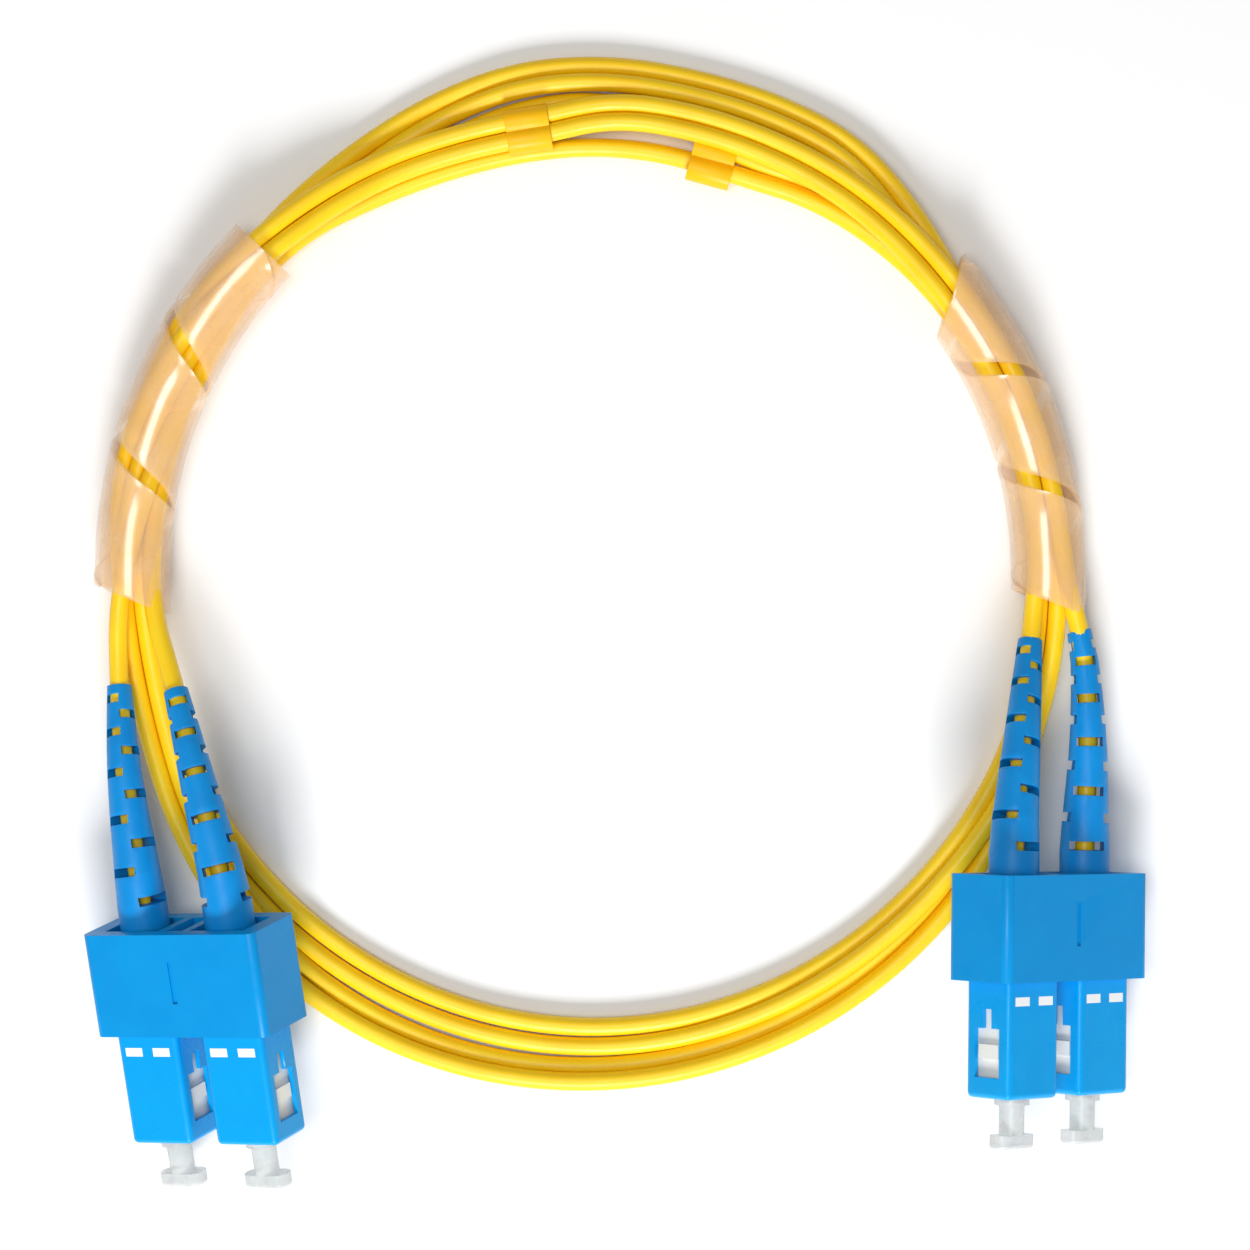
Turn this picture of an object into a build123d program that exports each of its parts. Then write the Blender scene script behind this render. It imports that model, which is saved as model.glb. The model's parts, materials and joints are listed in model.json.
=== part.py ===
from build123d import *
import os
from math import pi, radians, tan

# Duplex fiber optic patch cord, lying coiled on a flat surface.  Millimetres, +Z up.
# The origin is on that surface, under the middle of the box round everything but the cord.
# Left and right are the two ends of the cord; "outer" is the plug away from the coil's middle.

# ---- where things lie -------------------------------------------------------------------------
COIL_X = -2.1             # centre of the coil's circle
COIL_Y = 8.8

# Each end: centre of the duplex clip measured from the coil's centre, its turn about Z, how far
# its back is lifted, and how far it leans over about the plugs' length.
ENDS = {
    "left": {"centre": (-50.7, -50.3, 11.6), "turn": 7.6, "lift": 9.1, "lean": -28.2},
    "right": {"centre": (56.3, -44.1, 12.3), "turn": -0.7, "lift": -1.5, "lean": 40.4},
}

# Each plug: which end it is on, its side of the clip, how its boot's slots are turned, and the
# points of its leg of cord behind the straight run, from the coil's centre.
PLUGS = {
    "left_outer": {
        "end": "left", "side": -1, "boot_spin": 45,
        "leg": [(-59.9, -25.0, 9.6), (-60.9, -13.3, 6.6), (-61.0, -3.4, 5.8), (-60.4, 2.6, 5.1)],
    },
    "left_inner": {
        "end": "left", "side": 1, "boot_spin": 0,
        "leg": [(-50.1, -25.8, 14.8), (-53.4, -14.0, 10.4), (-56.7, -3.4, 5.8), (-58.2, 2.4, 5.0)],
    },
    "right_inner": {
        "end": "right", "side": -1, "boot_spin": 45,
        "leg": [(53.0, -19.6, 12.6), (54.5, -7.9, 7.2), (55.4, 1.3, 5.4), (55.8, 7.0, 5.0)],
    },
    "right_outer": {
        "end": "right", "side": 1, "boot_spin": 90,
        "leg": [(61.9, -20.2, 7.4), (61.3, -8.8, 6.4), (59.0, -1.3, 5.5), (58.0, 5.4, 5.0)],
    },
}

# ---- cord -------------------------------------------------------------------------------------
CORD_DIAMETER = 2.4       # one strand
ARC_SHARE = 0.45          # of the shorter run, taken by each arc

# The coil's outline: angle from +X, radius of its middle, width, underside and top.
WRAPPED = (7.2, 1.3, 8.5)          # width, underside and top where a wrap holds the bundle
COIL_STATIONS = [
    (352.6, 57.4, 6.0, 0.0, 4.8),
    (355.6, 57.0, *WRAPPED),
    (5, 57.0, *WRAPPED),
    (15, 57.0, *WRAPPED),
    (25, 57.0, *WRAPPED),
    (33, 57.0, *WRAPPED),
    (40, 57.2, *WRAPPED),
    (45, 58.2, 10.4, 0.0, 6.0),
    (60, 59.2, 11.6, 0.0, 5.2),
    (75, 59.8, 12.0, 0.0, 5.0),
    (90, 60.1, 13.4, 0.0, 4.8),
    (105, 59.9, 12.6, 0.0, 5.0),
    (120, 60.0, 11.0, 0.0, 5.4),
    (131, 59.9, 9.6, 0.0, 6.2),
    (135.4, 59.4, *WRAPPED),
    (145, 59.4, *WRAPPED),
    (155, 59.4, *WRAPPED),
    (165, 59.4, *WRAPPED),
    (175, 59.4, *WRAPPED),
    (183.4, 59.4, *WRAPPED),
    (187, 59.2, 5.4, 0.0, 4.7),
    (198, 59.2, 5.4, 0.0, 4.7),
    (210, 60.2, 8.0, 0.0, 4.8),
    (225, 61.0, 9.6, 0.0, 4.8),
    (240, 61.7, 10.0, 0.0, 4.8),
    (255, 61.2, 9.4, 0.0, 4.8),
    (270, 61.0, 9.2, 0.0, 4.8),
    (285, 60.6, 8.4, 0.0, 4.8),
    (300, 60.1, 7.6, 0.0, 4.8),
    (315, 59.4, 7.2, 0.0, 4.8),
    (330, 58.3, 7.2, 0.0, 4.8),
    (343, 57.6, 6.6, 0.0, 4.8),
]

# ---- spiral wraps and split stops -------------------------------------------------------------
WRAP_RADIUS = 4.9
WRAP_BORE = 4.15
WRAP_GAP = 1.9            # open width of the spiral between two turns
WRAP_GAP_SLANT = -28      # degrees from square across the bundle
WRAPS = {
    "left": {"ring": 59.4, "from": 136, "to": 183, "gaps": (151.5, 167.5)},
    "right": {"ring": 57.0, "from": -3, "to": 39.4, "gaps": (11.5, 27)},
}

STOP_LOBE = 1.75          # outer radius of the sleeve round each strand
STOP_BORE = 1.28
STOP_LENGTH = 5.6
STOPS = {
    "left": {"ring": 57.4, "angle": 99.2, "height": 3.7, "tilt": 0},
    "right": {"ring": 54.5, "angle": 74.8, "height": 2.2, "tilt": 8},
}

# ---- duplex clip ------------------------------------------------------------------------------
PLUG_PITCH = 12.7
CLIP_WIDTH = 25.4
CLIP_HEIGHT = 10.4
CLIP_LENGTH = 13.2
CLIP_EDGE = 1.1
CLIP_SEAM = -1.6          # height of the seam between cover and tray
CLIP_REAR_WALL = 1.2
CLIP_MOUTH_WIDTH = 8.0    # opening in the back that a boot comes out of
CLIP_MOUTH_HEIGHT = 6.4
CLIP_HOLLOW_WIDTH = 2.4   # hollow in the back of the middle web
CLIP_HOLLOW_DEPTH = 2.2
CLIP_MARK = (0.7, 0.5, 5.4)
CHANNEL_PLAY = 0.1
PEG_RADIUS = 0.7
PEG_LENGTH = 1.6

# ---- one plug: distances run along its axis from the grip's front face, backwards negative ----
GRIP_PROUD = 14.5         # length of grip in front of the clip
GRIP_LENGTH = 24.0
GRIP_WIDTH = 9.0
GRIP_HEIGHT = 7.4
GRIP_WALL = 0.6
GRIP_EDGE = 0.8
GRIP_FRONT_EDGE = 0.7
WINDOW_FRONT = -2.6
WINDOW_STEP = -8.7
WINDOW_BACK = -11.1
WINDOW_TALL = 4.2
WINDOW_LOW = 1.5
KEY_WIDTH = 2.2
KEY_HEIGHT = 0.7
KEY_BACK = -12.5

MARK_CENTRE = -12.1
MARK_SPACING = 4.1
MARK_WIDTH = 2.5
MARK_LENGTH = 1.1
MARK_DEPTH = 0.15

FRAME_FRONT = -0.8
FRAME_BACK = -20.6
FRAME_PLAY = 0.15
FRAME_BORE = 2.5
SHOULDER_FRONT = -7.2
SHOULDER_BACK = -8.0
SHOULDER_HOLE = 1.6
LUG_FRONT = -4.9
LUG_LENGTH = 1.8
LUG_HEIGHT = 0.45

FERRULE_RADIUS = 1.25
FERRULE_TIP = 0.4
FERRULE_BACK = -10.4
HOLDER_FRONT = -8.1
FLANGE_LENGTH = 2.0
FLANGE_RADIUS = 2.15
HOLDER_BACK = -14.0
HOLDER_TAIL = 1.4
HOLDER_NOTCH = 0.7

SPRING_RADIUS = 1.82
SPRING_WIRE = 0.2
SPRING_BACK = -15.7
SPRING_TURNS = 6

STOP_BODY_FRONT = -17.2
STOP_BODY_BACK = -26.5
STOP_BODY_TUBE = 2.42
BARREL_RADIUS = 1.7
BARREL_BORE = 0.8
BARREL_RIDGE = 0.12
BARREL_RIDGES = 5
BARREL_RIDGE_LENGTH = 0.4

CRIMP_FRONT = -22.2
CRIMP_STEP = -26.9
CRIMP_BACK = -29.4
CRIMP_WALL = 0.42

FIBRE_RADIUS = 0.45
FIBRE_FRONT = -10.6
FIBRE_BACK = -25.2

CAP_BORE = 1.3
CAP_RADIUS = 2.2
CAP_BACK = -6.0
CAP_FRONT = 0.9
CAP_STEM = 1.6
CAP_STEM_END = 4.6
CAP_FLARE_WIDTH = 6.2
CAP_FLARE_HEIGHT = 3.2
CAP_FLARE_LENGTH = 1.7

# ---- strain-relief boot: lengths run along the cord from the stop body's back -----------------
BOOT_NECK = 2.7
BOOT_NECK_FRONT = -22.3
BOOT_CAVITY = 2.3
BOOT_BASE = 3.15
BOOT_TIP = 1.55
BOOT_STRAIGHT = 4.0
BOOT_LENGTH = 31.8
BOOT_SECTIONS = 8
SLOT_COUNT = 10
SLOT_FIRST = 1.8          # from the tip
SLOT_PITCH = 2.1
SLOT_PITCH_GROWTH = 0.18
SLOT_LENGTH = 1.15
SLOT_SHARE = 1.4          # width of a slot over the boot's radius there
FIRST_RUN = 6.5           # straight cord behind the stop body


FROM_BACK = (Align.CENTER, Align.CENTER, Align.MIN)

os.makedirs("parts", exist_ok=True)


def save(piece, label):
    """Name one finished piece and write it out."""
    piece.part.label = label
    export_step(piece.part, f"parts/{label}.step")


def coil_point(point):
    """A point given from the coil's centre, in the part's own frame."""
    return Vector(*point) + Vector(COIL_X, COIL_Y, 0)


def clip_plane(end):
    """Plane at a clip's centre: x across its two plugs, y out of its top, z forwards."""
    axes = [Vector(1, 0, 0), Vector(0, -1, 0)]
    for axis, angle in ((Axis.Y, end["lean"]), (Axis.X, end["lift"]), (Axis.Z, end["turn"])):
        axes = [direction.rotate(axis, angle) for direction in axes]
    return Plane(origin=coil_point(end["centre"]), x_dir=axes[0], z_dir=axes[1])


def plug_plane(plug):
    """The same directions, at the middle of one grip's front face."""
    clip = clip_plane(ENDS[plug["end"]])
    sideways = clip.x_dir * (plug["side"] * PLUG_PITCH / 2)
    forwards = clip.z_dir * (CLIP_LENGTH / 2 + GRIP_PROUD)
    return Plane(origin=clip.origin + sideways + forwards, x_dir=clip.x_dir, z_dir=clip.z_dir)


def leg_points(plug, plane):
    """The leg's points: two on the plug's axis, then those laid by hand to inside the wrap."""
    start = plane.offset(STOP_BODY_BACK).origin
    straight_end = plane.offset(STOP_BODY_BACK - FIRST_RUN).origin
    return [start, straight_end] + [coil_point(point) for point in plug["leg"]]


def arc_radii(points):
    """One radius for each corner: the arc takes a set share of the shorter run beside it."""
    radii = []
    for before, corner, after in zip(points, points[1:], points[2:]):
        turn = (corner - before).get_angle(after - corner)
        shorter = min((corner - before).length, (after - corner).length)
        radii.append(ARC_SHARE * shorter / tan(radians(turn / 2)))
    return radii


# ---- cord -------------------------------------------------------------------------------------
def make_coil():
    """One closed ring with the outer shape of all the turns of cord together."""
    with BuildPart() as coil:
        ring = COIL_STATIONS + COIL_STATIONS[:1]
        for pair in zip(ring, ring[1:]):
            for angle, radius, width, underside, top in pair:
                outwards = Vector(1, 0, 0).rotate(Axis.Z, angle)
                middle = outwards * radius + Vector(0, 0, (underside + top) / 2)
                across = Plane(
                    origin=coil_point(middle),
                    x_dir=outwards,
                    z_dir=outwards.rotate(Axis.Z, 90),
                )
                height = top - underside
                with BuildSketch(across):
                    RectangleRounded(width, height, 0.46 * min(width, height))
            loft(ruled=True)
    return coil


def make_leg(points, name):
    """One strand of cord from its stop body to inside the wrap."""
    radii = arc_radii(points)
    with BuildPart() as leg:
        with BuildLine():
            route = FilletPolyline(*points, radius=radii)
        with BuildSketch(Plane(origin=route @ 0, z_dir=route % 0)):
            Circle(CORD_DIAMETER / 2)
        sweep()
    expected = pi * (CORD_DIAMETER / 2) ** 2 * route.length
    rounded = [round(radius, 1) for radius in radii]
    ratio = leg.part.volume / expected
    print(f"{name}: arc radii {rounded}, length {route.length:.1f}, volume ratio {ratio:.4f}")
    return leg, route


# ---- things round the bundle ------------------------------------------------------------------
def make_wrap(wrap):
    """A sleeve bent along the coil, with slanted gaps in its upper half between its turns."""
    span = wrap["to"] - wrap["from"]
    outwards = Vector(1, 0, 0).rotate(Axis.Z, wrap["from"])
    middle = coil_point(outwards * wrap["ring"] + Vector(0, 0, WRAP_RADIUS))
    start = Plane(origin=middle, x_dir=outwards, z_dir=outwards.rotate(Axis.Z, 90))
    with BuildPart() as sleeve:
        with BuildSketch(start):
            Circle(WRAP_RADIUS)
            Circle(WRAP_BORE, mode=Mode.SUBTRACT)
        revolve(axis=Axis((COIL_X, COIL_Y, 0), (0, 0, 1)), revolution_arc=span)
        for angle in wrap["gaps"]:
            outwards = Vector(1, 0, 0).rotate(Axis.Z, angle)
            above = outwards * wrap["ring"] + Vector(0, 0, 1.5 * WRAP_RADIUS)
            slanted = outwards.rotate(Axis.Z, WRAP_GAP_SLANT)
            gap = Plane(origin=coil_point(above), x_dir=slanted, z_dir=(0, 0, 1))
            with Locations(gap.location):
                Box(4 * WRAP_RADIUS, WRAP_GAP, WRAP_RADIUS, mode=Mode.SUBTRACT)
    return sleeve


def make_split_stop(stop):
    """A figure-of-eight sleeve that keeps the two strands from splitting further."""
    outwards = Vector(1, 0, 0).rotate(Axis.Z, stop["angle"])
    along = outwards.rotate(Axis.Z, 90)
    middle = coil_point(outwards * stop["ring"] + Vector(0, 0, stop["height"]))
    tilted = outwards.rotate(Axis((0, 0, 0), along), stop["tilt"])
    across = Plane(origin=middle - along * (STOP_LENGTH / 2), x_dir=tilted, z_dir=along)
    with BuildPart() as sleeve:
        with BuildSketch(across):
            with Locations((-CORD_DIAMETER / 2, 0), (CORD_DIAMETER / 2, 0)):
                Circle(STOP_LOBE)
            Rectangle(CORD_DIAMETER, STOP_LOBE)
        extrude(amount=STOP_LENGTH)
        with BuildSketch(across):
            with Locations((-CORD_DIAMETER / 2, 0), (CORD_DIAMETER / 2, 0)):
                Circle(STOP_BORE)
        extrude(amount=STOP_LENGTH, mode=Mode.SUBTRACT)
    return sleeve


# ---- duplex clip ------------------------------------------------------------------------------
def make_clip_half(plane, upper):
    """Cover or tray of the box that joins two plugs, split along their length."""
    front = plane.offset(CLIP_LENGTH / 2)
    back = plane.offset(-CLIP_LENGTH / 2)
    inside = plane.offset(-CLIP_LENGTH / 2 + CLIP_REAR_WALL)
    plug_places = [(-PLUG_PITCH / 2, 0), (PLUG_PITCH / 2, 0)]
    top = CLIP_HEIGHT / 2 if upper else CLIP_SEAM
    bottom = CLIP_SEAM if upper else -CLIP_HEIGHT / 2
    middle = (top + bottom) / 2
    with BuildPart() as half:
        with BuildSketch(back):
            RectangleRounded(CLIP_WIDTH, CLIP_HEIGHT, CLIP_EDGE)
        extrude(amount=CLIP_LENGTH)
        with BuildSketch(inside):
            with Locations(*plug_places):
                Rectangle(GRIP_WIDTH + CHANNEL_PLAY, GRIP_HEIGHT + CHANNEL_PLAY)
        extrude(amount=CLIP_LENGTH, mode=Mode.SUBTRACT)
        with BuildSketch(back):
            with Locations(*plug_places):
                Rectangle(CLIP_MOUTH_WIDTH, CLIP_MOUTH_HEIGHT)
        extrude(amount=CLIP_REAR_WALL, mode=Mode.SUBTRACT)
        with BuildSketch(back):
            Rectangle(CLIP_HOLLOW_WIDTH, CLIP_MOUTH_HEIGHT)
        extrude(amount=CLIP_HOLLOW_DEPTH, mode=Mode.SUBTRACT)
        if upper:
            # shallow mark in the middle of the top face
            top_middle = Plane(
                origin=plane.from_local_coords((0, CLIP_HEIGHT / 2, -0.4)),
                x_dir=plane.x_dir,
                z_dir=plane.z_dir,
            )
            with Locations(top_middle.location):
                Box(*CLIP_MARK, mode=Mode.SUBTRACT)
        with BuildSketch(front):
            with Locations((0, middle)):
                Rectangle(2 * CLIP_WIDTH, top - bottom)
        extrude(amount=-CLIP_LENGTH, mode=Mode.INTERSECT)
        # snap pegs of the cover stand in holes of the tray's middle web
        for along in (-CLIP_LENGTH / 4, CLIP_LENGTH / 4):
            seam = Plane(
                origin=plane.from_local_coords((0, CLIP_SEAM, along)),
                x_dir=plane.x_dir,
                z_dir=-plane.y_dir,
            )
            with BuildSketch(seam):
                Circle(PEG_RADIUS if upper else PEG_RADIUS + 0.05)
            depth = PEG_LENGTH if upper else PEG_LENGTH + 0.1
            extrude(amount=depth, mode=Mode.ADD if upper else Mode.SUBTRACT)
    return half


# ---- plug -------------------------------------------------------------------------------------
def rod(plane, back, front, radius, mode=Mode.ADD):
    """A round length of material on the plug's axis, in the builder that is open."""
    with Locations(plane.offset(back).location):
        Cylinder(radius, front - back, align=FROM_BACK, mode=mode)


def bore(plane, back, front, radius):
    """A round hole along the plug's axis, in the builder that is open."""
    rod(plane, back, front, radius, Mode.SUBTRACT)


def block(plane, back, front, width, height, mode=Mode.ADD, across=0, up=0):
    """A square-cornered bar along the plug's axis, in the builder that is open."""
    corner = plane.from_local_coords((across, up, back))
    with Locations(Plane(origin=corner, x_dir=plane.x_dir, z_dir=plane.z_dir).location):
        Box(width, height, front - back, align=FROM_BACK, mode=mode)


def make_grip(plane):
    """Outer sleeve: open at both ends, a stepped window in each side, a key underneath."""
    with BuildPart() as grip:
        with BuildSketch(plane.offset(-GRIP_LENGTH)):
            RectangleRounded(GRIP_WIDTH, GRIP_HEIGHT, GRIP_EDGE)
        extrude(amount=GRIP_LENGTH)
        front_face = grip.faces().sort_by(Axis((0, 0, 0), plane.z_dir))[-1]
        fillet(front_face.edges(), GRIP_FRONT_EDGE)
        key_height = KEY_HEIGHT + 0.2
        key_place = -GRIP_HEIGHT / 2 - KEY_HEIGHT + key_height / 2
        block(plane, KEY_BACK, -0.6, KEY_WIDTH, key_height, up=key_place)
        cavity_width = GRIP_WIDTH - 2 * GRIP_WALL
        cavity_height = GRIP_HEIGHT - 2 * GRIP_WALL
        block(plane, -GRIP_LENGTH, 0, cavity_width, cavity_height, Mode.SUBTRACT)
        block(plane, WINDOW_STEP, WINDOW_FRONT, 2 * GRIP_WIDTH, WINDOW_TALL, Mode.SUBTRACT)
        block(plane, WINDOW_BACK, WINDOW_STEP, 2 * GRIP_WIDTH, WINDOW_LOW, Mode.SUBTRACT)
        for side in (-0.5, 0.5):
            block(
                plane, MARK_CENTRE - MARK_LENGTH / 2, MARK_CENTRE + MARK_LENGTH / 2,
                MARK_WIDTH, 2 * MARK_DEPTH, Mode.SUBTRACT,
                across=side * MARK_SPACING, up=GRIP_HEIGHT / 2,
            )
    return grip


def make_marks(plane):
    """Two white bars let into the grip's top face."""
    with BuildPart() as marks:
        for side in (-0.5, 0.5):
            block(
                plane, MARK_CENTRE - MARK_LENGTH / 2, MARK_CENTRE + MARK_LENGTH / 2,
                MARK_WIDTH, MARK_DEPTH,
                across=side * MARK_SPACING, up=GRIP_HEIGHT / 2 - MARK_DEPTH / 2,
            )
    return marks


def make_inner_frame(plane):
    """Inner body: socket in front, shoulder for the ferrule's flange, latch lugs at the sides."""
    width = GRIP_WIDTH - 2 * GRIP_WALL - 2 * FRAME_PLAY
    height = GRIP_HEIGHT - 2 * GRIP_WALL - 2 * FRAME_PLAY
    with BuildPart() as inner_frame:
        block(plane, FRAME_BACK, FRAME_FRONT, width, height)
        for side in (-1, 1):
            block(
                plane, LUG_FRONT - LUG_LENGTH, LUG_FRONT,
                LUG_HEIGHT + 0.4, 0.8 * WINDOW_TALL,
                across=side * (width / 2 + LUG_HEIGHT / 2 - 0.2),
            )
        bore(plane, SHOULDER_FRONT, FRAME_FRONT, FRAME_BORE)
        bore(plane, SHOULDER_BACK, SHOULDER_FRONT, SHOULDER_HOLE)
        bore(plane, FRAME_BACK, SHOULDER_BACK, FRAME_BORE)
    return inner_frame


def make_ferrule(plane):
    """Ceramic pin that holds the fibre's end, with a chamfered tip."""
    with BuildPart() as ferrule:
        rod(plane, FERRULE_BACK, FERRULE_TIP, FERRULE_RADIUS)
        tip = ferrule.faces().sort_by(Axis((0, 0, 0), plane.z_dir))[-1]
        chamfer(tip.edges(), 0.3)
    return ferrule


def make_holder(plane):
    """Flange pressed on the ferrule, with key notches, and a tail inside the spring."""
    flange_back = HOLDER_FRONT - FLANGE_LENGTH
    with BuildPart() as holder:
        rod(plane, flange_back, HOLDER_FRONT, FLANGE_RADIUS)
        rod(plane, HOLDER_BACK, flange_back, HOLDER_TAIL)
        bore(plane, FERRULE_BACK, HOLDER_FRONT, FERRULE_RADIUS + 0.01)
        bore(plane, HOLDER_BACK, FERRULE_BACK, FIBRE_RADIUS + 0.1)
        for side in (-FLANGE_RADIUS, FLANGE_RADIUS):
            notch = (plane, flange_back, HOLDER_FRONT, HOLDER_NOTCH, HOLDER_NOTCH, Mode.SUBTRACT)
            block(*notch, across=side)
            block(*notch, up=side)
    return holder


def make_spring(plane):
    """Wire coil that pushes the ferrule forwards."""
    front = HOLDER_FRONT - FLANGE_LENGTH - SPRING_WIRE - 0.02
    height = front - SPRING_BACK
    with BuildPart() as spring:
        with BuildLine() as wire:
            Helix(
                pitch=height / SPRING_TURNS, height=height, radius=SPRING_RADIUS,
                center=plane.offset(SPRING_BACK).origin, direction=plane.z_dir,
            )
        with BuildSketch(Plane(origin=wire.line @ 0, z_dir=wire.line % 0)):
            Circle(SPRING_WIRE)
        sweep(is_frenet=True)
    return spring


def make_stop_body(plane):
    """Closes the inner frame's back, backs the spring and carries the crimp barrel."""
    with BuildPart() as stop_body:
        rod(plane, FRAME_BACK, STOP_BODY_FRONT, STOP_BODY_TUBE)
        rod(plane, CRIMP_FRONT, FRAME_BACK, STOP_BODY_TUBE + 0.2)
        rod(plane, STOP_BODY_BACK, CRIMP_FRONT, BARREL_RADIUS - BARREL_RIDGE)
        for ridge in range(BARREL_RIDGES):
            ridge_back = STOP_BODY_BACK + 0.3 + 2 * BARREL_RIDGE_LENGTH * ridge
            rod(plane, ridge_back, ridge_back + BARREL_RIDGE_LENGTH, BARREL_RADIUS)
        bore(plane, STOP_BODY_BACK, FRAME_BACK, BARREL_BORE)
        bore(plane, FRAME_BACK, STOP_BODY_FRONT, SHOULDER_HOLE)
    return stop_body


def make_crimp_ring(plane):
    """Metal ring crimped over the barrel, with a narrow tail that grips the jacket."""
    over_jacket = CORD_DIAMETER / 2 + 0.02
    over_barrel = BARREL_RADIUS + 0.02
    with BuildPart() as crimp_ring:
        rod(plane, CRIMP_STEP - CRIMP_WALL, CRIMP_FRONT - 0.02, over_barrel + CRIMP_WALL)
        rod(plane, CRIMP_BACK, CRIMP_STEP - CRIMP_WALL, over_jacket + CRIMP_WALL)
        bore(plane, CRIMP_STEP, CRIMP_FRONT - 0.02, over_barrel)
        bore(plane, CRIMP_BACK, CRIMP_STEP, over_jacket)
    return crimp_ring


def make_fibre(plane):
    """Buffered fibre from the ferrule to inside the barrel."""
    with BuildPart() as fibre:
        rod(plane, FIBRE_BACK, FIBRE_FRONT, FIBRE_RADIUS)
    return fibre


def make_dust_cap(plane):
    """Cap pushed over the ferrule: a tube, a stem and a flared end to pull it by."""
    with BuildPart() as cap:
        rod(plane, CAP_BACK, CAP_FRONT, CAP_RADIUS)
        rod(plane, CAP_FRONT, CAP_STEM_END, CAP_STEM)
        with BuildSketch(plane.offset(CAP_STEM_END)):
            RectangleRounded(CAP_FLARE_WIDTH, CAP_FLARE_HEIGHT, 0.45 * CAP_FLARE_HEIGHT)
        extrude(amount=CAP_FLARE_LENGTH)
        fillet(cap.faces().sort_by(Axis((0, 0, 0), plane.z_dir))[-1].edges(), 0.5)
        bore(plane, CAP_BACK, FERRULE_TIP + 0.2, CAP_BORE)
    return cap


def boot_radius(distance):
    """Outer radius at a distance behind the stop body: a straight base, then a taper."""
    if distance < BOOT_STRAIGHT:
        return BOOT_BASE
    share = (distance - BOOT_STRAIGHT) / (BOOT_LENGTH - BOOT_STRAIGHT)
    return BOOT_BASE + (BOOT_TIP - BOOT_BASE) * share


def slot_places():
    """Each slot's distance from the boot's tip: they spread out towards the base."""
    place = SLOT_FIRST
    places = []
    for slot in range(SLOT_COUNT):
        places.append(place)
        place += SLOT_PITCH + SLOT_PITCH_GROWTH * slot
    return places


def make_boot(plane, route, spin):
    """Slotted strain relief: a neck inside the clip, then a tapered body bent along the cord."""
    level = Vector(0, 0, 1).cross(plane.z_dir)
    slot_way = level.rotate(Axis((0, 0, 0), plane.z_dir), spin)
    lengths = [0, BOOT_STRAIGHT]
    taper = BOOT_LENGTH - BOOT_STRAIGHT
    for section in range(1, BOOT_SECTIONS):
        lengths.append(BOOT_STRAIGHT + taper * section / (BOOT_SECTIONS - 1))

    def square_across(distance):
        share = distance / route.length
        return Plane(origin=route @ share, x_dir=slot_way, z_dir=route % share)

    with BuildPart() as boot:
        for distance in lengths:
            with BuildSketch(square_across(distance)):
                Circle(boot_radius(distance))
        loft(ruled=True)
        rod(plane, STOP_BODY_BACK, BOOT_NECK_FRONT, BOOT_NECK)
        with BuildSketch(Plane(origin=route @ 0, z_dir=route % 0)):
            Circle(CORD_DIAMETER / 2 + 0.05)
        sweep(path=route, mode=Mode.SUBTRACT)
        bore(plane, CRIMP_STEP - 0.6, BOOT_NECK_FRONT, BOOT_CAVITY)
        bore(plane, CRIMP_BACK - 0.2, CRIMP_STEP - 0.6, BOOT_CAVITY - 0.5)
        for number, place in enumerate(slot_places()):
            distance = BOOT_LENGTH - place
            radius = boot_radius(distance)
            width = SLOT_SHARE * radius
            through = (width, 4 * radius) if number % 2 == 0 else (4 * radius, width)
            with Locations(square_across(distance).location):
                Box(*through, SLOT_LENGTH, mode=Mode.SUBTRACT)
    return boot


# ---- build everything -------------------------------------------------------------------------
save(make_coil(), "cord_coil")

for end_name, end in ENDS.items():
    clip = clip_plane(end)
    save(make_clip_half(clip, upper=True), f"{end_name}_clip_cover")
    save(make_clip_half(clip, upper=False), f"{end_name}_clip_tray")
    save(make_wrap(WRAPS[end_name]), f"{end_name}_spiral_wrap")
    save(make_split_stop(STOPS[end_name]), f"{end_name}_split_stop")

for plug_name, plug in PLUGS.items():
    plane = plug_plane(plug)
    leg, route = make_leg(leg_points(plug, plane), plug_name)
    save(leg, f"{plug_name}_cord_leg")
    save(make_boot(plane, route, plug["boot_spin"]), f"{plug_name}_boot")
    save(make_grip(plane), f"{plug_name}_grip")
    save(make_marks(plane), f"{plug_name}_insertion_marks")
    save(make_inner_frame(plane), f"{plug_name}_inner_frame")
    save(make_ferrule(plane), f"{plug_name}_ferrule")
    save(make_holder(plane), f"{plug_name}_ferrule_holder")
    save(make_spring(plane), f"{plug_name}_ferrule_spring")
    save(make_stop_body(plane), f"{plug_name}_stop_body")
    save(make_crimp_ring(plane), f"{plug_name}_crimp_ring")
    save(make_fibre(plane), f"{plug_name}_buffered_fibre")
    save(make_dust_cap(plane), f"{plug_name}_dust_cap")
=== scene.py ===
import json
from math import atan, cos, pi, radians, sin

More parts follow.
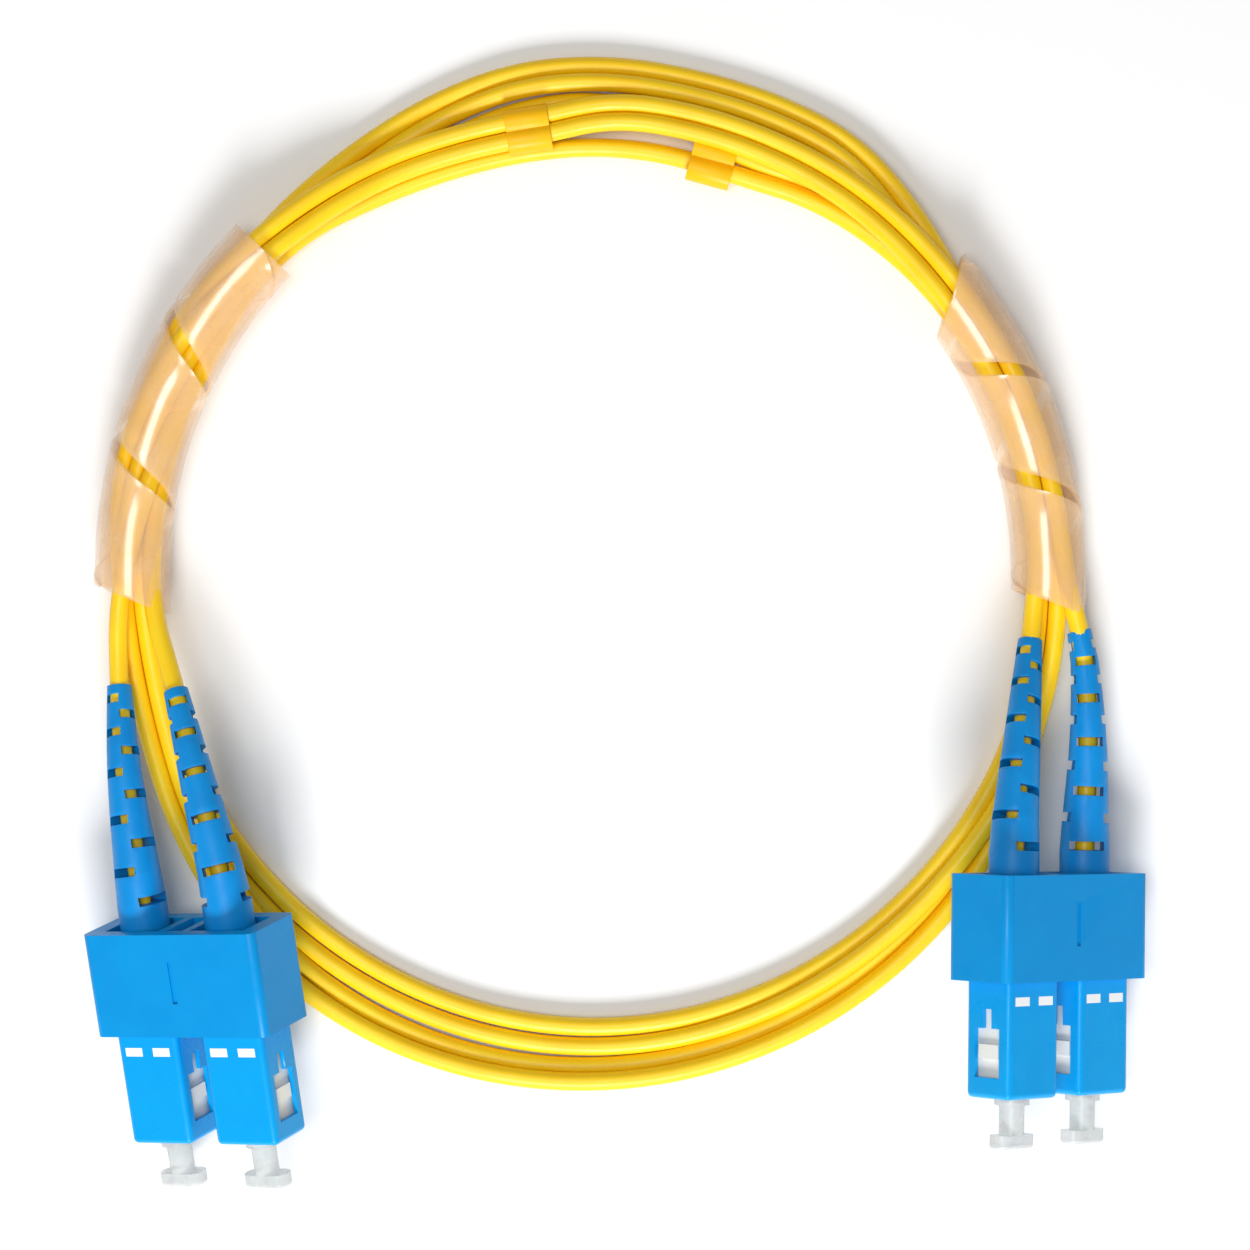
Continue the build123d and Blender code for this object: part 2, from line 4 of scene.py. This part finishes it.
import bmesh
import bpy
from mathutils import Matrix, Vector


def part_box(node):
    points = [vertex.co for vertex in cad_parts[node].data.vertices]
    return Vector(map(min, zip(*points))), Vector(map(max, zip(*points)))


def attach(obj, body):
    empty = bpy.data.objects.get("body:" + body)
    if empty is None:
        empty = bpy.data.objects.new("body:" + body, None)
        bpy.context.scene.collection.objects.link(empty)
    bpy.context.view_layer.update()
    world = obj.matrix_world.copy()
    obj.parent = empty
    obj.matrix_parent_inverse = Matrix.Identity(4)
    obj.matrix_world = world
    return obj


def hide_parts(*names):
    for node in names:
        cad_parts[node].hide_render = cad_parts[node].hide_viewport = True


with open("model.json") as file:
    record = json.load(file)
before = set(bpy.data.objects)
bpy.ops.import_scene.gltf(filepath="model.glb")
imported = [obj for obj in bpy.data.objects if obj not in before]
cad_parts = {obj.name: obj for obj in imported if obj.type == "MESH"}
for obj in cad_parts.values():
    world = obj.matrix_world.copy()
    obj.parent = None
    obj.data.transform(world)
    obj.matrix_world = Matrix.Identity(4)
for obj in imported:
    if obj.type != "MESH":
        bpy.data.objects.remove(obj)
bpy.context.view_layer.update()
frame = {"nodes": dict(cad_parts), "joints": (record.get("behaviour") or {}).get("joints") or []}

# Duplex fiber optic patch cord, coiled on a pale surface.  Metres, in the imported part's frame.
# "mm" turns the sizes below, which are given in millimetres, into metres.
mm = 0.001

# ---- camera and light -------------------------------------------------------------------------
CAMERA_PLACE = (0.0011, 0.0024, 0.532)     # straight above the coil, looking down
CAMERA_LENS = 119.5         # millimetres, as is the sensor's width
CAMERA_SENSOR = 36
CAMERA_NEAREST = 0.01       # nearest and farthest distance that is drawn
CAMERA_FARTHEST = 50
FLOOR_SIZE = 6.0
# Lamps: name, place, side of the square, and power in watts.
LIGHTS = (
    ("key", (0.0, -0.85, 0.66), 0.32, 10.5),
    ("overhead", (-0.2, 0.0, 1.15), 0.42, 4.6),
)
WORLD_STRENGTH = 0.3

# ---- the coil of cord -------------------------------------------------------------------------
CORD_DIAMETER = 2.4
CORD_START = -26.5          # along a plug's axis from its grip's front face: where the cord starts
CORD_STRAIGHT = -33.0       # and where its straight run ends
FIBRE_MIDDLE = -17.9        # middle of the buffered fibre on the same axis
COIL_CENTRE = Vector((-2.1, 8.8, 0)) * mm
COIL_STEP = 10              # degrees from one point of a turn to the next
CORD_ROUND_STEPS = 6        # how finely the tube is drawn round its middle
CORD_LINE_STEPS = 8         # and along it, from one point to the next

# Each leg's points from the coil's centre, from its plug to the wrap.
LEGS = {
    "left_outer": [(-59.9, -25.0, 9.6), (-60.9, -13.3, 6.7), (-61.0, -3.4, 7.0)],
    "left_inner": [(-50.1, -25.8, 14.8), (-53.4, -14.0, 10.4), (-57.0, -3.4, 7.2)],
    "right_inner": [(53.0, -19.6, 12.6), (54.5, -7.9, 7.3), (55.5, 1.3, 7.2)],
    "right_outer": [(61.9, -20.2, 7.4), (61.3, -8.8, 6.5), (59.1, -1.3, 6.9)],
}
STRANDS = {
    "strand_a": ("left_outer", "right_inner"),
    "strand_b": ("left_inner", "right_outer"),
}

# The bundle inside each spiral wrap: its ring, the angles that it lies between, and the degrees that
# it twists by along the way.
BUNDLE_HEIGHT = 4.9
COLUMN = 1.22               # the strands lie in two columns and three rows inside a wrap
ROW = 2.4
WRAPS = {
    "left": {"ring": 59.4, "from": 136, "to": 183, "twist": 180},
    "right": {"ring": 57.0, "from": -3, "to": 39.4, "twist": 0},
}

# Where the two strands of the cord lie between the wraps: the angle, then the ring and height of
# strand a and of strand b.  One list for each time that the cord passes.
TOP_PASSES = [
    [(118, 55.6, 1.3, 57.9, 1.3), (99.2, 54.7, 1.25, 60.4, 1.3), (88, 54.7, 1.25, 60.6, 1.3),
     (80, 54.3, 1.6, 58.6, 1.5), (74.8, 53.3, 2.5, 55.7, 2.1), (62, 54.9, 1.6, 57.2, 1.5)],
    [(118, 62.6, 1.3, 60.2, 1.4), (99.2, 65.2, 1.25, 63.0, 2.2), (85, 64.9, 1.25, 62.7, 2.4),
     (74.8, 64.2, 1.25, 61.9, 2.5), (60, 64.0, 1.8, 61.8, 2.9)],
    [(118, 57.3, 3.5, 59.6, 3.7), (99.2, 56.2, 3.7, 58.6, 3.7), (86, 58.2, 3.8, 60.5, 3.6),
     (74.8, 57.2, 4.6, 59.5, 4.2), (62, 57.2, 4.0, 59.5, 3.8)],
]
BOTTOM_PASSES = [
    [(-17, 56.4, 1.2, 58.8, 1.2), (-45, 59.7, 1.2, 61.8, 2.2), (-90, 62.8, 1.2, 64.6, 2.7),
     (-125, 62.9, 1.3, 65.1, 2.4), (-150, 60.0, 3.5, 62.4, 3.0), (-165, 58.0, 3.6, 60.4, 3.6)],
    [(-17, 58.8, 3.6, 56.4, 3.6), (-45, 58.6, 3.4, 56.9, 1.7), (-90, 60.3, 1.3, 57.8, 1.3),
     (-125, 60.4, 1.2, 57.9, 1.2), (-150, 60.2, 1.2, 57.8, 1.2), (-165, 60.4, 1.2, 58.0, 1.2)],
]
# Row of the pair inside each wrap (1 is the top one), and the side of strand a (1 is outside).
LEFT_PASSES = [(1, 1), (0, -1), (-1, 1)]
RIGHT_PASSES = [(-1, -1), (0, 1), (1, -1)]
# Angles of the stations inside each wrap, in the order that the cord passes them.
LEFT_ANGLES = [183, 171, 159.5, 148, 136]
RIGHT_ANGLES = [39, 28, 18, 8, -3]


def coil_point(angle, ring, height):
    """A point from its angle and distance round the coil's centre, and its height."""
    turned = radians(angle)
    return COIL_CENTRE + Vector((ring * cos(turned), ring * sin(turned), height)) * mm


def wrap_stations(name, row, side, lap, angles):
    """Stations of both strands inside a wrap, where the bundle may twist as it goes along."""
    wrap = WRAPS[name]
    stations = []
    for angle in angles:
        share = (wrap["to"] - angle) / (wrap["to"] - wrap["from"])
        twist = radians(wrap["twist"] * share)
        station = [angle - 360 * lap]
        for strand_side in (side, -side):
            across = COLUMN * strand_side
            above = ROW * row
            station.append(wrap["ring"] + across * cos(twist) - above * sin(twist))
            station.append(BUNDLE_HEIGHT + across * sin(twist) + above * cos(twist))
        stations.append(station)
    return stations


def on_lap(stations, lap):
    """The stations with their angles counted on from the first lap."""
    return [[angle - 360 * lap, *places] for angle, *places in stations]


def coil_stations():
    """All stations of the coil in the order that the cord passes them."""
    last_lap = len(TOP_PASSES) - 1
    stations = []
    for lap in range(last_lap + 1):
        # the legs take the place of the very first station and of the last one
        left_angles = LEFT_ANGLES[1:] if lap == 0 else LEFT_ANGLES
        right_angles = RIGHT_ANGLES[:-1] if lap == last_lap else RIGHT_ANGLES
        stations += wrap_stations("left", *LEFT_PASSES[lap], lap, left_angles)
        stations += on_lap(TOP_PASSES[lap], lap)
        stations += wrap_stations("right", *RIGHT_PASSES[lap], lap, right_angles)
        if lap < last_lap:
            stations += on_lap(BOTTOM_PASSES[lap], lap)
    return stations


def eased(stations, angle, column):
    """The column's value at an angle, on a smooth line through the stations."""
    last = len(stations) - 1
    after = 1
    while after < last and stations[after][0] > angle:
        after += 1
    before = after - 1
    span = stations[after][0] - stations[before][0]
    share = (angle - stations[before][0]) / span

    def slope(index):
        """How fast the value changes at a station, over the span in hand."""
        low, high = max(index - 1, 0), min(index + 1, last)
        rise = stations[high][column] - stations[low][column]
        return rise / (stations[high][0] - stations[low][0]) * span

    start, end = stations[before][column], stations[after][column]
    square, cube = share ** 2, share ** 3
    return (
        start * (2 * cube - 3 * square + 1) + end * (3 * square - 2 * cube)
        + slope(before) * (cube - 2 * square + share) + slope(after) * (cube - square)
    )


def plug_axis(plug):
    """A plug's direction and the middle of its grip's front face, from the frame."""
    joint = next(j for j in frame["joints"] if j["name"] == f"{plug}_cap_pull")
    forwards = Vector(joint["axis"])
    low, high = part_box(f"{plug}_buffered_fibre")
    return forwards, (low + high) / 2 - forwards * (FIBRE_MIDDLE * mm)


def leg_points(plug):
    """A leg's points, from its plug towards the wrap."""
    forwards, face = plug_axis(plug)
    on_axis = [face + forwards * (along * mm) for along in (CORD_START, CORD_STRAIGHT)]
    return on_axis + [COIL_CENTRE + Vector(point) * mm for point in LEGS[plug]]


def strand_points(strand):
    """All points of one strand, from its left plug round the coil to its right plug."""
    left, right = STRANDS[strand]
    column = 1 if strand == "strand_a" else 3
    stations = coil_stations()
    count = round((stations[0][0] - stations[-1][0]) / COIL_STEP)
    step = (stations[0][0] - stations[-1][0]) / count
    # control points stand a little outside the ring, so that the spline runs on it
    outside = 1 / cos(radians(step / 2))
    turns = []
    for number in range(count + 1):
        angle = stations[0][0] - step * number
        ring = eased(stations, angle, column)
        # no strand sinks into the surface where the line dips between stations
        height = max(CORD_DIAMETER / 2, eased(stations, angle, column + 1))
        turns.append(coil_point(angle, ring * outside, height))
    return leg_points(left) + turns + leg_points(right)[::-1]


def make_strand(strand):
    """One strand of cord as a smooth spline."""
    points = strand_points(strand)
    curve = bpy.data.curves.new(strand, "CURVE")
    curve.dimensions = "3D"
    # the points' own radius sets the tube's size, because a curve's box also grows by that radius
    curve.bevel_depth = 1
    curve.bevel_resolution = CORD_ROUND_STEPS
    curve.resolution_u = CORD_LINE_STEPS
    curve.use_fill_caps = True
    spline = curve.splines.new("NURBS")
    spline.points.add(len(points) - 1)
    for place, point in zip(spline.points, points):
        place.co = (*point, 1)
        place.radius = CORD_DIAMETER / 2 * mm
    spline.order_u = 3
    spline.use_endpoint_u = True
    spline.use_smooth = True
    piece = bpy.data.objects.new(strand, curve)
    bpy.context.scene.collection.objects.link(piece)
    return piece


# ---- materials --------------------------------------------------------------------------------
# Noise mostly stays between these two values, which are stretched to a pattern's whole range.
NOISE_LOW = 0.3
NOISE_HIGH = 0.7
COLOUR_DRIFT = 6.0          # size of the blotches in a moulded piece's colour, in millimetres
GLOSS_DRIFT = 2.2           # and in its gloss
GLOSS_LOSS = 0.05           # how far its roughness falls and rises
GLOSS_GAIN = 0.06
SKIN_DETAIL = 3.0
FLOOR_DRIFT = 120.0


class Paint:
    """A node material under construction: one Principled shader and helpers for its patterns."""

    def __init__(self, name, colour, roughness):
        self.material = bpy.data.materials.new(name)
        self.material.use_nodes = True
        self.tree = self.material.node_tree
        self.shader = self.tree.nodes["Principled BSDF"]
        self.colour = colour
        self.set("Base Color", (*colour, 1))
        self.set("Roughness", roughness)
        self.place = self.tree.nodes.new("ShaderNodeTexCoord").outputs["Object"]

    def set(self, socket, value):
        """Give one of the shader's inputs a fixed value."""
        self.shader.inputs[socket].default_value = value

    def link(self, output, socket):
        """Lead a pattern into one of the shader's inputs."""
        self.tree.links.new(output, self.shader.inputs[socket])

    def noise(self, size, detail=2.0):
        """A noise pattern whose blotches are about size millimetres."""
        node = self.tree.nodes.new("ShaderNodeTexNoise")
        node.inputs["Scale"].default_value = 1 / (size * mm)
        node.inputs["Detail"].default_value = detail
        self.tree.links.new(self.place, node.inputs["Vector"])
        return node.outputs["Fac"]

    def between(self, pattern, low, high):
        """The pattern's middle range as a number from low to high."""
        node = self.tree.nodes.new("ShaderNodeMapRange")
        node.inputs["From Min"].default_value = NOISE_LOW
        node.inputs["From Max"].default_value = NOISE_HIGH
        node.inputs["To Min"].default_value = low
        node.inputs["To Max"].default_value = high
        self.tree.links.new(pattern, node.inputs["Value"])
        return node.outputs["Result"]

    def mottle(self, pattern, other):
        """Base colour that drifts from the main colour to another with the pattern."""
        node = self.tree.nodes.new("ShaderNodeMix")
        node.data_type = "RGBA"
        colours = [socket for socket in node.inputs if socket.type == "RGBA"]
        colours[0].default_value = (*self.colour, 1)
        colours[1].default_value = (*other, 1)
        self.tree.links.new(self.between(pattern, 0, 1), node.inputs["Factor"])
        self.link(next(o for o in node.outputs if o.type == "RGBA"), "Base Color")

    def uneven(self, pattern, low, high):
        """Roughness that drifts between two values with the pattern."""
        self.link(self.between(pattern, low, high), "Roughness")

    def bump(self, pattern, depth):
        """Relief from the pattern, depth in millimetres."""
        node = self.tree.nodes.new("ShaderNodeBump")
        node.inputs["Distance"].default_value = depth * mm
        node.inputs["Strength"].default_value = 1.0
        self.tree.links.new(pattern, node.inputs["Height"])
        self.link(node.outputs["Normal"], "Normal")


def moulded(name, colour, other, roughness, grain=0.25, relief=0.006):
    """Moulded plastic: a faint drift of colour, a drift of gloss and a fine skin texture."""
    paint = Paint(name, colour, roughness)
    paint.mottle(paint.noise(COLOUR_DRIFT), other)
    paint.uneven(paint.noise(GLOSS_DRIFT), roughness - GLOSS_LOSS, roughness + GLOSS_GAIN)
    paint.bump(paint.noise(grain, SKIN_DETAIL), relief)
    return paint


def jacket_material():
    """The cord's soft yellow jacket, which lets a little light in."""
    paint = moulded(
        "jacket_yellow", (0.99, 0.66, 0.004), (0.98, 0.6, 0.003),
        roughness=0.42, grain=0.4, relief=0.01,
    )
    paint.set("Subsurface Weight", 0.12)
    paint.set("Subsurface Radius", (1.0, 0.55, 0.1))
    paint.set("Subsurface Scale", 0.6 * mm)
    return paint.material


def clip_material():
    """Blue plastic of the duplex clips."""
    paint = moulded("clip_blue", (0.0, 0.285, 0.68), (0.0, 0.265, 0.65), roughness=0.33)
    paint.set("Specular IOR Level", 0.25)
    return paint.material


def grip_material():
    """Blue plastic of the plug grips, a little lighter than the clips."""
    paint = moulded("grip_blue", (0.0, 0.345, 0.78), (0.0, 0.325, 0.75), roughness=0.3)
    paint.set("Specular IOR Level", 0.25)
    return paint.material


def boot_material():
    """Duller and softer blue of the strain-relief boots."""
    paint = moulded(
        "boot_blue", (0.0, 0.28, 0.72), (0.0, 0.25, 0.67), roughness=0.45, grain=0.35, relief=0.02
    )
    paint.set("Specular IOR Level", 0.3)
    paint.set("Subsurface Weight", 0.05)
    paint.set("Subsurface Scale", 0.5 * mm)
    return paint.material


def frame_material():
    """Uncoloured plastic of the inner frames."""
    paint = moulded("frame_natural", (0.82, 0.83, 0.8), (0.76, 0.77, 0.74), roughness=0.4)
    return paint.material


def mark_material():
    """White print of the insertion marks."""
    paint = moulded(
        "mark_white", (0.92, 0.92, 0.91), (0.88, 0.88, 0.87), roughness=0.5, grain=0.12, relief=0.01
    )
    return paint.material


def translucent(name, colour, other, roughness, alpha_low, alpha_high, blotch):
    """Thin plastic that lets what is behind it show, more in some places than in others."""
    paint = moulded(name, colour, other, roughness, grain=0.8, relief=0.01)
    paint.link(paint.between(paint.noise(blotch), alpha_low, alpha_high), "Alpha")
    return paint


def cap_material():
    """Milky plastic of the dust caps."""
    paint = translucent(
        "cap_clear", (0.66, 0.69, 0.68), (0.6, 0.64, 0.63),
        roughness=0.22, alpha_low=0.42, alpha_high=0.6, blotch=2.0,
    )
    paint.set("Subsurface Weight", 0.25)
    paint.set("Subsurface Scale", 1.0 * mm)
    return paint.material


def wrap_material():
    """Clear film of the spiral wraps, with a strong shine."""
    paint = translucent(
        "wrap_clear", (1.0, 0.66, 0.32), (1.0, 0.72, 0.42),
        roughness=0.3, alpha_low=0.28, alpha_high=0.42, blotch=4.0,
    )
    paint.set("Coat Weight", 1.0)
    paint.set("Coat Roughness", 0.2)
    paint.set("Coat IOR", 2.3)
    return paint.material


def stop_material():
    """Amber plastic of the split stops, nearly solid."""
    paint = translucent(
        "stop_amber", (1.0, 0.56, 0.0), (1.0, 0.5, 0.0),
        roughness=0.4, alpha_low=0.94, alpha_high=0.99, blotch=1.5,
    )
    paint.set("Specular IOR Level", 0.3)
    return paint.material


def ceramic_material():
    """Polished ceramic of the ferrules."""
    paint = moulded(
        "ferrule_ceramic", (0.86, 0.86, 0.82), (0.82, 0.82, 0.78),
        roughness=0.12, grain=0.1, relief=0.001,
    )
    return paint.material


def metal(name, colour, other, roughness, grain):
    """Bare metal with a fine grain."""
    paint = moulded(name, colour, other, roughness, grain, relief=0.004)
    paint.set("Metallic", 1.0)
    return paint.material


def fibre_material():
    """Coating of the buffered fibre."""
    paint = moulded(
        "fibre_buffer", (0.85, 0.85, 0.8), (0.8, 0.8, 0.75), roughness=0.35, grain=0.1, relief=0.004
    )
    return paint.material


def floor_material():
    """Pale surface that the cord lies on."""
    paint = Paint("floor_white", (0.93, 0.93, 0.93), 0.6)
    paint.mottle(paint.noise(FLOOR_DRIFT), (0.92, 0.92, 0.925))
    return paint.material


MATERIALS = {
    "jacket_yellow": jacket_material(),
    "clip_blue": clip_material(),
    "grip_blue": grip_material(),
    "boot_blue": boot_material(),
    "frame_natural": frame_material(),
    "mark_white": mark_material(),
    "cap_clear": cap_material(),
    "wrap_clear": wrap_material(),
    "stop_amber": stop_material(),
    "ferrule_ceramic": ceramic_material(),
    "nickel": metal("nickel", (0.62, 0.61, 0.58), (0.56, 0.55, 0.53), 0.28, 0.2),
    "spring_steel": metal("spring_steel", (0.55, 0.55, 0.56), (0.5, 0.5, 0.5), 0.35, 0.1),
    "fibre_buffer": fibre_material(),
}

# Which finish each kind of CAD node takes, by the end of its name.
NODE_FINISHES = {
    "clip_cover": "clip_blue",
    "clip_tray": "clip_blue",
    "grip": "grip_blue",
    "insertion_marks": "mark_white",
    "inner_frame": "frame_natural",
    "boot": "boot_blue",
    "dust_cap": "cap_clear",
    "split_stop": "stop_amber",
    "ferrule": "ferrule_ceramic",
    "ferrule_holder": "nickel",
    "ferrule_spring": "spring_steel",
    "stop_body": "nickel",
    "crimp_ring": "nickel",
    "buffered_fibre": "fibre_buffer",
}


# Width of the rounding on the edges of moulded pieces, in millimetres.
EDGE_WIDTHS = {"clip_cover": 0.3, "clip_tray": 0.3, "grip": 0.12, "boot": 0.1, "split_stop": 0.4}
EDGE_SEGMENTS = 3
EDGE_ANGLE = 50             # degrees between two faces from which their edge is rounded
WELD_DISTANCE = 0.002


def finish(piece, slot):
    """Give a piece the material of its slot."""
    piece.data.materials.clear()
    piece.data.materials.append(MATERIALS[slot])


def round_edges(piece, width):
    """Break a CAD piece's sharp edges, as moulded plastic has them."""
    weld = piece.modifiers.new("joined corners", "WELD")
    weld.merge_threshold = WELD_DISTANCE * mm
    edges = piece.modifiers.new("rounded edges", "BEVEL")
    edges.width = width * mm
    edges.segments = EDGE_SEGMENTS
    edges.limit_method = "ANGLE"
    edges.angle_limit = radians(EDGE_ANGLE)
    edges.use_clamp_overlap = True
    edges.harden_normals = True


def finish_cad_nodes():
    """Give each CAD node that no visual piece replaces its material, and its edges their rounding."""
    for name, node in frame["nodes"].items():
        kinds = [kind for kind in NODE_FINISHES if name.endswith(kind)]
        if kinds:
            kind = max(kinds, key=len)
            finish(node, NODE_FINISHES[kind])
            if kind in EDGE_WIDTHS:
                round_edges(node, EDGE_WIDTHS[kind])


# ---- spiral wraps -----------------------------------------------------------------------------
WRAP_RADIUS = 4.5           # middle of the band's thickness
WRAP_THICKNESS = 0.55
WRAP_GAP = 1.9
WRAP_FLARE = 0.6            # how far one edge of the band stands off
FLARE_POWER = 3             # the higher, the closer to the edge the flare starts
WRAP_EDGE = 0.1             # rounding of the band's own edges
WRAP_EDGE_SEGMENTS = 2
# Each band: the angle where a gap crosses its top, the degrees from one gap to the next, the edge
# that stands off, and the cuts that end it, as angle round the coil, slant in degrees and which side
# falls away.  An edge or a side of -1 is the one at the lower angles.
BANDS = {
    "left": {
        "gap": 151.5, "pitch": 16.0, "flare_edge": -1,
        "cuts": ((136, 0, -1), (183, -26, 1)),
    },
    "right": {
        "gap": 11.5, "pitch": 15.5, "flare_edge": 1,
        "cuts": ((-3.5, -17, -1), (38.5, 35, 1)),
    },
}
GAPS_OPEN = (-0.15, 1.65)   # turns between which the spiral is open; it is tight at its ends
GAP_CLOSING = 0.15          # turns over which it closes
GAP_LEAST = 0.02            # share of the gap that stays where the spiral is tight
GAP_TURN = 0.75             # a quarter turn up to the top, and half a pitch from the band to its gap
BAND_TURNS = (-2, 3)        # turns between which the band is wound before it is cut
BAND_STEPS_ROUND = 40
BAND_STEPS_ACROSS = 14


def open_share(turn):
    """How far the spiral is open at a turn, from 0 to 1."""
    first, last = GAPS_OPEN
    into_gap = min(turn - first, last - turn) / GAP_CLOSING
    return min(1.0, max(GAP_LEAST, into_gap))


def band_point(ring, gap, pitch, flare_edge, turn, across):
    """A point of the band: turn is counted in whole turns, across from -1 to 1 over its width."""
    arc = radians(pitch) * ring
    slope = atan(arc / (2 * pi * WRAP_RADIUS))
    edge_turn = turn if across > 0 else turn - 1
    half = (arc - WRAP_GAP * open_share(edge_turn)) / 2 * cos(slope)
    sideways = half * across
    round_angle = 2 * pi * turn - sideways * sin(slope) / WRAP_RADIUS
    from_gap = arc * (turn - GAP_TURN) + sideways * cos(slope)
    angle = gap + (from_gap / ring) * 180 / pi
    rise = max(0.0, across * flare_edge)
    # the edge stands off in the upper half only: the floor holds it in below
    upper_half = max(0.0, sin(round_angle))
    radius = WRAP_RADIUS + WRAP_FLARE * rise ** FLARE_POWER * upper_half
    return coil_point(
        angle, ring + radius * cos(round_angle), BUNDLE_HEIGHT + radius * sin(round_angle)
    )


def make_wrap(side):
    """A translucent strip wound round the bundle, cut off at both ends."""
    ring = WRAPS[side]["ring"]
    band = BANDS[side]
    mesh = bmesh.new()
    rows = []
    first_turn, last_turn = BAND_TURNS
    for step in range(first_turn * BAND_STEPS_ROUND, last_turn * BAND_STEPS_ROUND + 1):
        turn = step / BAND_STEPS_ROUND
        row = []
        for column in range(BAND_STEPS_ACROSS + 1):
            across = 2 * column / BAND_STEPS_ACROSS - 1
            place = band_point(
                ring, band["gap"], band["pitch"], band["flare_edge"], turn, across
            )
            row.append(mesh.verts.new(place))
        rows.append(row)
    for row, following in zip(rows, rows[1:]):
        for corner in range(BAND_STEPS_ACROSS):
            mesh.faces.new(
                (row[corner], row[corner + 1], following[corner + 1], following[corner])
            )
    for angle, slant, outwards in band["cuts"]:
        normal_angle = radians(angle + 90 + slant)
        normal = Vector((cos(normal_angle), sin(normal_angle), 0)) * outwards
        bmesh.ops.bisect_plane(
            mesh,
            geom=mesh.verts[:] + mesh.edges[:] + mesh.faces[:],
            plane_co=coil_point(angle, ring, BUNDLE_HEIGHT),
            plane_no=normal,
            clear_outer=True,
        )
    bmesh.ops.recalc_face_normals(mesh, faces=mesh.faces[:])
    data = bpy.data.meshes.new(f"{side}_wrap_band")
    mesh.to_mesh(data)
    mesh.free()
    piece = bpy.data.objects.new(f"{side}_wrap_band", data)
    bpy.context.scene.collection.objects.link(piece)
    solid = piece.modifiers.new("thickness", "SOLIDIFY")
    solid.thickness = WRAP_THICKNESS * mm
    solid.offset = 0
    edges = piece.modifiers.new("rounded edges", "BEVEL")
    edges.width = WRAP_EDGE * mm
    edges.segments = WRAP_EDGE_SEGMENTS
    edges.limit_method = "ANGLE"
    for face in data.polygons:
        face.use_smooth = True
    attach(piece, "root")
    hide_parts(f"{side}_spiral_wrap")
    finish(piece, "wrap_clear")


# ---- stage ------------------------------------------------------------------------------------
def make_floor():
    """The surface under the coil, which isn't part of the object."""
    bpy.ops.mesh.primitive_plane_add(size=FLOOR_SIZE)
    floor = bpy.context.object
    floor.name = "floor"
    floor.data.materials.append(floor_material())


def make_light(name, place, size, power):
    """A soft square lamp that looks at the middle of the coil."""
    data = bpy.data.lights.new(name, "AREA")
    data.shape = "SQUARE"
    data.size = size
    data.energy = power
    lamp = bpy.data.objects.new(name, data)
    lamp.location = place
    lamp.rotation_euler = Vector(place).to_track_quat("Z", "Y").to_euler()
    bpy.context.scene.collection.objects.link(lamp)


def make_world(strength):
    """Even white light from all round."""
    world = bpy.data.worlds.new("studio")
    world.use_nodes = True
    background = world.node_tree.nodes["Background"]
    background.inputs["Color"].default_value = (1, 1, 1, 1)
    background.inputs["Strength"].default_value = strength
    bpy.context.scene.world = world


def make_camera():
    """The camera, which looks straight down as it is made."""
    data = bpy.data.cameras.new("camera")
    data.lens = CAMERA_LENS
    data.sensor_width = CAMERA_SENSOR
    data.clip_start = CAMERA_NEAREST
    data.clip_end = CAMERA_FARTHEST
    camera = bpy.data.objects.new("camera", data)
    camera.location = CAMERA_PLACE
    bpy.context.scene.collection.objects.link(camera)
    bpy.context.scene.camera = camera


# ---- build everything -------------------------------------------------------------------------
make_camera()

for strand, (left, right) in STRANDS.items():
    piece = make_strand(strand)
    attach(piece, "root")
    finish(piece, "jacket_yellow")
    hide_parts(f"{left}_cord_leg", f"{right}_cord_leg")
    if strand == "strand_a":
        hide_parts("cord_coil")

finish_cad_nodes()
for side in WRAPS:
    make_wrap(side)

make_floor()
for name, place, size, power in LIGHTS:
    make_light(name, place, size, power)
make_world(WORLD_STRENGTH)
bpy.context.scene.view_settings.view_transform = "Standard"

bpy.context.view_layer.update()
